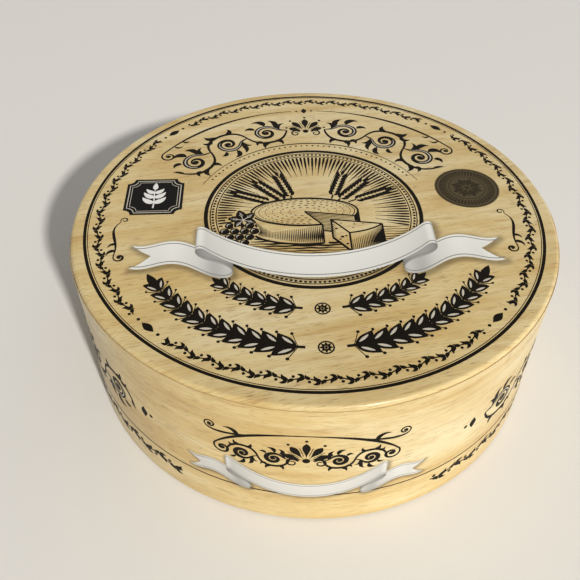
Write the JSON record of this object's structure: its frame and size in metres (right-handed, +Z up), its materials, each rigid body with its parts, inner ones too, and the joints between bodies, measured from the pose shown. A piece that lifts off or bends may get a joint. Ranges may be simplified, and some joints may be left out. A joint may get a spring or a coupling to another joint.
{
  "type": "round gift box",
  "caption": "Round paperboard gift box: a shallow base inside a full-depth lift-off lid, covered in paper with a printed wood grain.",
  "frame": {"origin": "middle of the underside, on the surface that the box stands on", "axes": "+Z up along the axis of the round wall; -Y is the front, where the printed emblem of the side is"},
  "size_m": [0.165, 0.165, 0.0604],
  "materials": {
    "wood_print_paper": "satin",
    "plain_paper": "matte",
    "grey_board": "matte"
  },
  "bodies": {
    "base": {"base_wall": "grey_board", "base_floor_board": "grey_board", "base_wrap": "plain_paper", "base_bottom_label": "plain_paper"},
    "lid": {"lid_wall": "grey_board", "lid_top_board": "grey_board", "lid_top_label": "wood_print_paper", "lid_side_wrap": "wood_print_paper"}
  },
  "joints": [
    {"name": "lid_lift", "type": "slide", "parent": "base", "child": "lid", "axis": [0, 0, 1], "range_m": [0, 0.08]}
  ]
}
